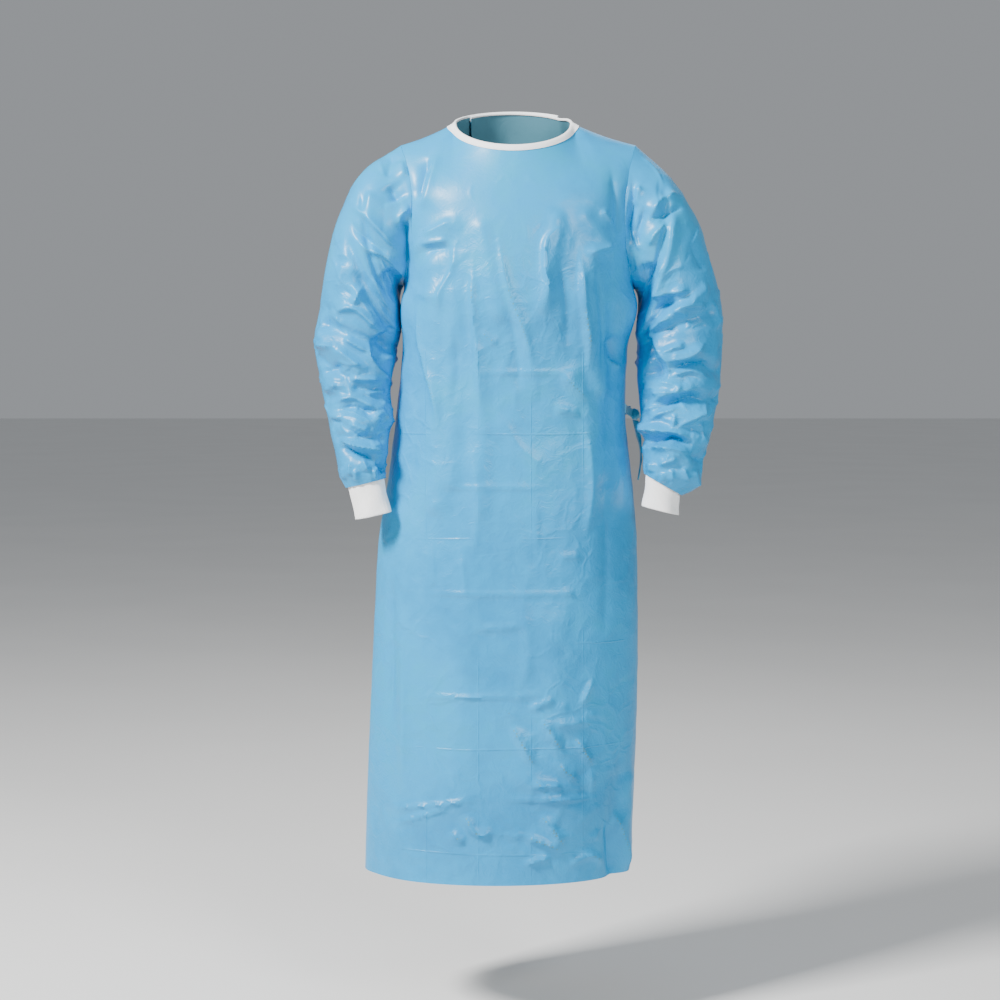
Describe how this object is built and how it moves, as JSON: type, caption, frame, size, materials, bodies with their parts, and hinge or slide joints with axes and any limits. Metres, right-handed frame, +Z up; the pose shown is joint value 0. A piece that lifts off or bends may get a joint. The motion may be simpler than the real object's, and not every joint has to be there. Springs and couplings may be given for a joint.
{
  "type": "surgical gown",
  "caption": "Long-sleeved surgical gown with a bound neck, knit cuffs, lapped back and side waist tie, held open in its worn shape.",
  "frame": {"origin": "middle of the neck opening, level with the points where the shoulder seams meet the neck", "axes": "+X towards the wearer's left, -Y out of the front, +Z up along the body"},
  "size_m": [0.6478, 0.3223, 1.2111],
  "materials": {
    "coated_nonwoven": "light blue film-coated nonwoven, satin sheen",
    "tie_cloth": "the same nonwoven, folded into a flat tie",
    "cuff_knit": "white rib knit",
    "binding_tape": "white matt binding tape"
  },
  "bodies": {
    "root": {"front": "coated_nonwoven", "back_outer": "coated_nonwoven", "back_inner": "coated_nonwoven", "sleeve_left": "coated_nonwoven", "sleeve_right": "coated_nonwoven", "cuff_left": "cuff_knit", "cuff_right": "cuff_knit", "neck_binding": "binding_tape", "tie_long": "tie_cloth", "tie_short": "tie_cloth", "tie_long_end": "tie_cloth", "tie_short_end": "tie_cloth", "tie_knot": "tie_cloth"}
  },
  "joints": []
}
